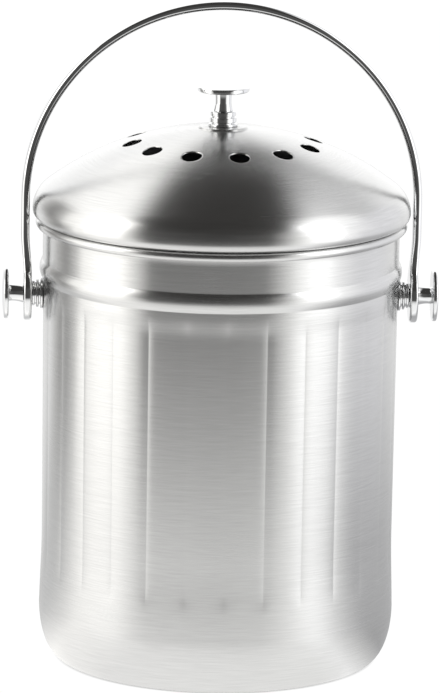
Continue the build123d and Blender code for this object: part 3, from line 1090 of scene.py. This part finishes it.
pivotHeight = pail["height"] - pail["pivotDrop"]
posts = {
    "ferruleRadii": (7.5 * mm, 7.0 * mm, 6.2 * mm),
    "stem": 7.1 * mm,
    "waist": 5.0 * mm,
}
for side, word in ((-1, "left"), (1, "right")):
    low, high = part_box(word + "_ferrule")
    near, far = sorted((abs(low.x), abs(high.x)))
    mesh = ferruleMesh(word + "Ferrule", ferrule, far - near, posts["ferruleRadii"])
    piece = showPiece(word + "Ferrule", onSide(mesh, side, near, pivotHeight), materials["chrome"])
    stand(piece, "pail", "chrome", word + "_ferrule")
    low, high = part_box(word + "_knob")
    shoulder = min(abs(low.x), abs(high.x)) + knob["spigotLength"]
    mesh = knobMesh(word + "Knob", knob, posts["stem"], posts["waist"], knob["spigotLength"])
    piece = showPiece(word + "Knob", onSide(mesh, side, shoulder, pivotHeight), materials["chrome"])
    stand(piece, "pail", "chrome", word + "_knob")

lidKnob = {"ferruleRadii": (7.0 * mm, 6.5 * mm, 6.2 * mm), "stem": 9.5 * mm, "waist": 4.4 * mm}
low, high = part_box("lid_knob_ferrule")
mesh = ferruleMesh("crownFerrule", ferrule, high.z - low.z, lidKnob["ferruleRadii"])
mesh.transform(Matrix.Translation((0.0, 0.0, low.z)))
stand(showPiece("crownFerrule", mesh, materials["chrome"]), "lid", "chrome", "lid_knob_ferrule")
low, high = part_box("lid_knob")
mesh = knobMesh("crownKnob", knob, lidKnob["stem"], lidKnob["waist"], 0.0)
mesh.transform(Matrix.Translation((0.0, 0.0, low.z)))
stand(showPiece("crownKnob", mesh, materials["chrome"]), "lid", "chrome", "lid_knob")
print("knobs turned")


# bail handle

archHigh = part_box("bail_arch")[1]
bail = {
    "outer": archHigh.x,
    "top": archHigh.z,
    "thickness": 4.0 * mm,
    "width": 8.0 * mm,
    "barRound": 1.85 * mm,
    "crown": 0.15 * mm,
    "paddleRadius": 13.2 * mm,
    "paddleThickness": 3.9 * mm,
    "paddleInside": 91.75 * mm,
    "paddleRound": 1.2 * mm,
    "bore": 3.56 * mm,
    "neckTop": 22.0 * mm,
    "morphStart": 10.0 * mm,     # the paddle turns into the bar between these heights
    "morphEnd": 30.0 * mm,
    "faceColumns": 8,
    "edgeSteps": 7,
    "arcSteps": 96,
    "legRows": 16,
    "paddleSweep": 150.0,        # degrees, from the lowest point to where the neck leaves the paddle
    "paddleSteps": 39,
    "neckSteps": 12,
    "boreRings": 5,
}


def bailHalf(p, side):
    # verts and faces of one side, from the paddle up to the crown
    barX = p["outer"] - p["thickness"] / 2 - p["crown"]
    paddleX = p["paddleInside"] + p["paddleThickness"] / 2
    arcZ = p["top"] - p["outer"]
    half = p["width"] / 2
    verts, faces = [], []

    def shape(height):
        # half thickness, edge round, middle's x and crown at a height above the pivot
        share = ease((height - p["morphStart"]) / (p["morphEnd"] - p["morphStart"]))
        thick = (p["paddleThickness"] + (p["thickness"] - p["paddleThickness"]) * share) / 2
        size = p["paddleRound"] + (p["barRound"] - p["paddleRound"]) * share
        return thick, size, paddleX + (barX - paddleX) * share, p["crown"] * share

    def put(y, up, out):
        verts.append((side * out, y, pivotHeight + up))
        return len(verts) - 1

    def edgeProfile(size, thick):
        # (way in from the edge, rise off the middle) over the rounded edge, from face to face
        points = []
        for face in (1, -1):
            for step in range(p["edgeSteps"] + 1)[::face]:
                psi = math.pi / 2 * step / p["edgeSteps"]
                points.append((size * (1 - math.sin(psi)), face * (thick - size + size * math.cos(psi))))
        return points

    # half outline of the paddle, from its lowest point up to the neck's top
    right = []
    for step in range(p["paddleSteps"] + 1):
        angle = math.radians(-90 + p["paddleSweep"] * step / p["paddleSteps"])
        right.append((p["paddleRadius"] * math.cos(angle), p["paddleRadius"] * math.sin(angle)))
    start = right[-1]
    for step in range(1, p["neckSteps"] + 1):
        share = step / p["neckSteps"]
        up = start[1] + (p["neckTop"] - start[1]) * share
        right.append((half + (start[0] - half) * (1 - share) ** 2, up))
    left = [(-y, up) for y, up in right[1:]]
    cut = [(half * (1 - 2 * c / p["faceColumns"]), p["neckTop"]) for c in range(1, p["faceColumns"])]
    loop = right + cut + left[::-1]
    count = len(loop)
    firstCut = len(right) - 1
    lastCut = firstCut + len(cut) + 1

    def inward(number):
        if number in (firstCut, lastCut):
            return (-1.0 if number == firstCut else 1.0), 0.0
        y0, u0 = loop[number - 1]
        y1, u1 = loop[(number + 1) % count]
        length = math.hypot(y1 - y0, u1 - u0)
        return -(u1 - u0) / length, (y1 - y0) / length

    rims = {1: [], -1: []}
    walls = []
    for number, (y, up) in enumerate(loop):
        thick, size, middle, crown = shape(up)
        if firstCut < number < lastCut:
            spot = y * ((half - size) / half)
            rise = thick + crown * (1 - (spot / half) ** 2)
            rims[1].append(put(spot, up, middle + rise))
            rims[-1].append(put(spot, up, middle - rise))
            walls.append(None)
            continue
        ny, nu = inward(number)
        profile = []
        for inset, rise in edgeProfile(size, thick):
            profile.append(put(y + ny * inset, up + nu * inset, middle + rise))
        rims[1].append(profile[0])
        rims[-1].append(profile[-1])
        walls.append(profile)
    for number in range(count):
        first, second = walls[number], walls[(number + 1) % count]
        if first and second:
            bridge(faces, first, second)

    # flat faces in to the bore
    bores = {}
    for face in (1, -1):
        previous = rims[face]
        for ring in range(1, p["boreRings"] + 1):
            share = ring / p["boreRings"]
            made = []
            for corner in rims[face]:
                y, up = verts[corner][1], verts[corner][2] - pivotHeight
                size = math.hypot(y, up)
                by, bu = y / size * p["bore"], up / size * p["bore"]
                ny, nu = y + (by - y) * share, up + (bu - up) * share
                thick, _, middle, crown = shape(nu)
                rise = thick + crown * (1 - min(1.0, abs(ny) / half) ** 2)
                made.append(put(ny, nu, middle + face * rise))
            bridge(faces, *(previous, made)[::face], closed=True)
            previous = made
        bores[face] = previous
    bridge(faces, bores[1], bores[-1], closed=True)

    # the section at the cut, carried up the leg and round the arch
    previous = walls[firstCut] + rims[-1][firstCut + 1:lastCut]
    previous += walls[lastCut][::-1] + rims[1][firstCut + 1:lastCut][::-1]

    def sectionAt(height, point):
        thick, size, middle, crown = shape(height)
        profile = [(half - inset, rise) for inset, rise in edgeProfile(size, thick)]
        flat = []
        for c in range(1, p["faceColumns"]):
            spot = half * (1 - 2 * c / p["faceColumns"]) * (half - size) / half
            flat.append((spot, thick + crown * (1 - (spot / half) ** 2)))
        section = profile + [(y, -rise) for y, rise in flat]
        section += [(-y, rise) for y, rise in profile[::-1]] + flat[::-1]
        return [point(y, rise, middle) for y, rise in section]

    legTop = arcZ - pivotHeight
    for step in range(1, p["legRows"] + 1):
        up = p["neckTop"] + (legTop - p["neckTop"]) * step / p["legRows"]
        made = sectionAt(up, lambda y, rise, middle: put(y, up, middle + rise))
        bridge(faces, previous, made, closed=True)
        previous = made
    quarter = p["arcSteps"] // 2
    for step in range(1, quarter + 1):
        angle = math.pi / 2 * step / quarter

        def around(y, rise, middle):
            radius = middle + rise
            verts.append((side * radius * math.cos(angle), y, arcZ + radius * math.sin(angle)))
            return len(verts) - 1

        made = sectionAt(legTop, around)
        bridge(faces, previous, made, closed=True)
        previous = made
    return verts, faces


def bailMesh(p):
    verts, faces = [], []
    for side in (-1, 1):
        sideVerts, sideFaces = bailHalf(p, side)
        shift = len(verts)
        verts += sideVerts
        faces += [[c + shift for c in face] for face in sideFaces]
    mesh = makeMesh("bailHandle", verts, faces)
    work = bmesh.new()
    work.from_mesh(mesh)
    bmesh.ops.remove_doubles(work, verts=work.verts, dist=0.002 * mm)
    bmesh.ops.recalc_face_normals(work, faces=work.faces)
    work.to_mesh(mesh)
    work.free()
    mesh.shade_smooth()
    return mesh


bailHandle = showPiece("bailHandle", bailMesh(bail), materials["chrome"])
stand(bailHandle, "bail", "chrome", "bail_arch", "bail_left_arm", "bail_right_arm")
print("handle bent")


# pieces that keep their solid

hiddenFinishes = {
    "lidSteel": ("lid_locating_ring", "filter_holder"),
    "fastenerSteel": (
        "lid_knob_screw", "lid_knob_washer", "left_pivot_screw", "right_pivot_screw",
        "left_washer", "right_washer",
    ),
    "sealRubber": ("left_seal", "right_seal"),
    "retainerPlastic": ("filter_retainer",),
    "carbonFelt": ("charcoal_filter",),
}
for finish, nodes in hiddenFinishes.items():
    for node in nodes:
        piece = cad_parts[node]
        piece.data.materials.clear()
        piece.data.materials.append(materials[finish])
print("hidden pieces finished")

scene.view_settings.view_transform = "Standard"
